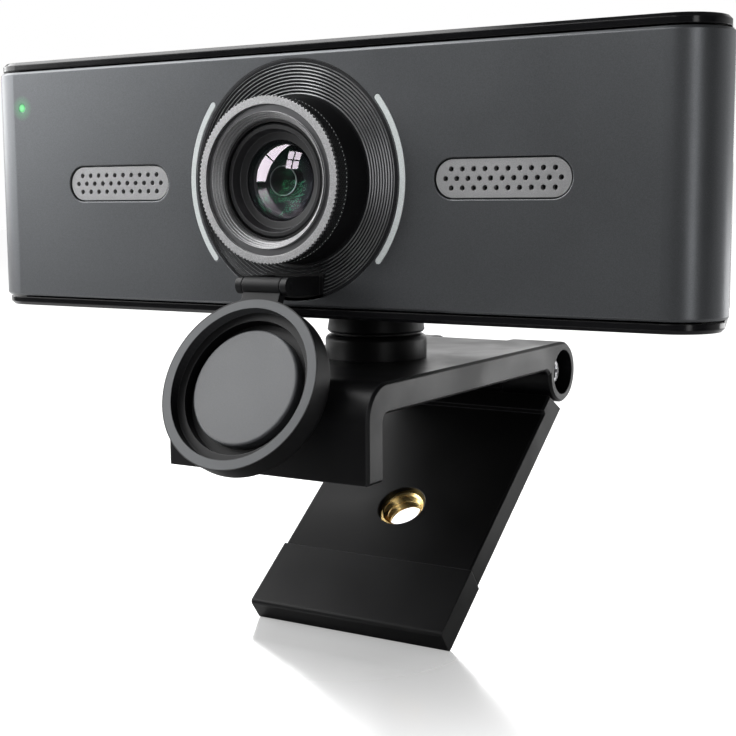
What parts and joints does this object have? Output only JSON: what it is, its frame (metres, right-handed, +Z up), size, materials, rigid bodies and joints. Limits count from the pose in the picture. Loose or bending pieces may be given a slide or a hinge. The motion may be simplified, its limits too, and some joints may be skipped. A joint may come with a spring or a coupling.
{
  "type": "webcam",
  "caption": "Wide webcam with a knurled lens, twin microphone grilles and a hinged privacy cover, on a folding clip stand with a tripod thread.",
  "frame": {"origin": "centre of the bounding box on the level of the foot's lowest edge", "axes": "+X along the head's width, to the right seen from the front; +Y from the lens to the back; +Z up"},
  "size_m": [0.11, 0.0746, 0.0819],
  "materials": {
    "panel_grey": "satin dark grey coating",
    "gloss_black": "glossy",
    "satin_black": "satin",
    "light_bar": "satin light grey",
    "grille_metal": "sandblasted",
    "steel": "plain",
    "rubber": "matte",
    "clear_green": "clear, lit green",
    "led_body": "plain",
    "circuit_board": "solder mask",
    "sensor_glass": "glossy",
    "white_plastic": "plain",
    "switch_plastic": "plain",
    "clip_plastic": "satin",
    "washer_black": "matte",
    "brass": "machined",
    "cover_plastic": "satin grey",
    "pad_grey": "matte",
    "ring_black": "black anodised, knurled",
    "ring_silver": "fine turned and blasted",
    "cell_black": "black anodised",
    "lens_glass": "coated"
  },
  "bodies": {
    "clip": {"clip_bracket": "clip_plastic", "lip_pad": "rubber", "swivel_collar": "satin_black", "swivel_washer": "washer_black", "hinge_pin": "steel", "hinge_screws": "steel", "hinge_washers": "steel"},
    "head": {"front_shell": "panel_grey", "rear_cover": "gloss_black", "top_cap": "gloss_black", "bottom_cap": "gloss_black", "lens_bezel": "satin_black", "light_arc_left": "light_bar", "light_arc_right": "light_bar", "mic_grille_left": "grille_metal", "mic_grille_right": "grille_metal", "microphones": "steel", "microphone_boots": "rubber", "led_pipe": "clear_green", "indicator_led": "led_body", "main_board": "circuit_board", "image_sensor": "sensor_glass", "cable_socket": "white_plastic", "board_screws": "steel", "housing_screws": "steel", "cable_inlet": "rubber", "lens_mount": "satin_black", "lens_barrel": "satin_black", "button_switches": "switch_plastic", "button_board": "circuit_board", "neck": "satin_black", "swivel_bolt": "steel", "swivel_nut": "steel", "cover_fork": "satin_black", "cover_pin": "steel"},
    "leg": {"clip_leg": "clip_plastic", "foot_pad": "rubber", "thread_insert": "brass"},
    "cover": {"privacy_cover": "cover_plastic", "cover_pad": "pad_grey"},
    "focus": {"focus_ring": "ring_black", "focus_ring_rim": "ring_silver", "lens_funnel": "ring_silver", "lens_cell": "cell_black", "front_lens": "lens_glass", "rear_lens": "lens_glass"},
    "left_button": {"button_left": "gloss_black"},
    "right_button": {"button_right": "gloss_black"}
  },
  "joints": [
    {"name": "head_swivel", "type": "hinge", "parent": "clip", "child": "head", "pos_m": [0, 0.00106, 0.03892], "axis": [0, 0, 1], "range_deg": [-10, 10]},
    {"name": "clip_hinge", "type": "hinge", "parent": "clip", "child": "leg", "pos_m": [0, 0.03256, 0.03412], "axis": [1, 0, 0], "range_deg": [-34, 140]},
    {"name": "cover_hinge", "type": "hinge", "parent": "head", "child": "cover", "pos_m": [0, -0.02614, 0.05057], "axis": [1, 0, 0], "range_deg": [-153.5, 0]},
    {"name": "focus_turn", "type": "hinge", "parent": "head", "child": "focus", "pos_m": [0, -0.01954, 0.06367], "axis": [0, 1, 0], "range_deg": [-150, 150]},
    {"name": "left_button_press", "type": "slide", "parent": "head", "child": "left_button", "axis": [0, 0, 1], "range_m": [-0.00035, 0], "stiffness_N_per_m": 400, "springref_m": 0.0003},
    {"name": "right_button_press", "type": "slide", "parent": "head", "child": "right_button", "axis": [0, 0, 1], "range_m": [-0.00035, 0], "stiffness_N_per_m": 400, "springref_m": 0.0003}
  ]
}
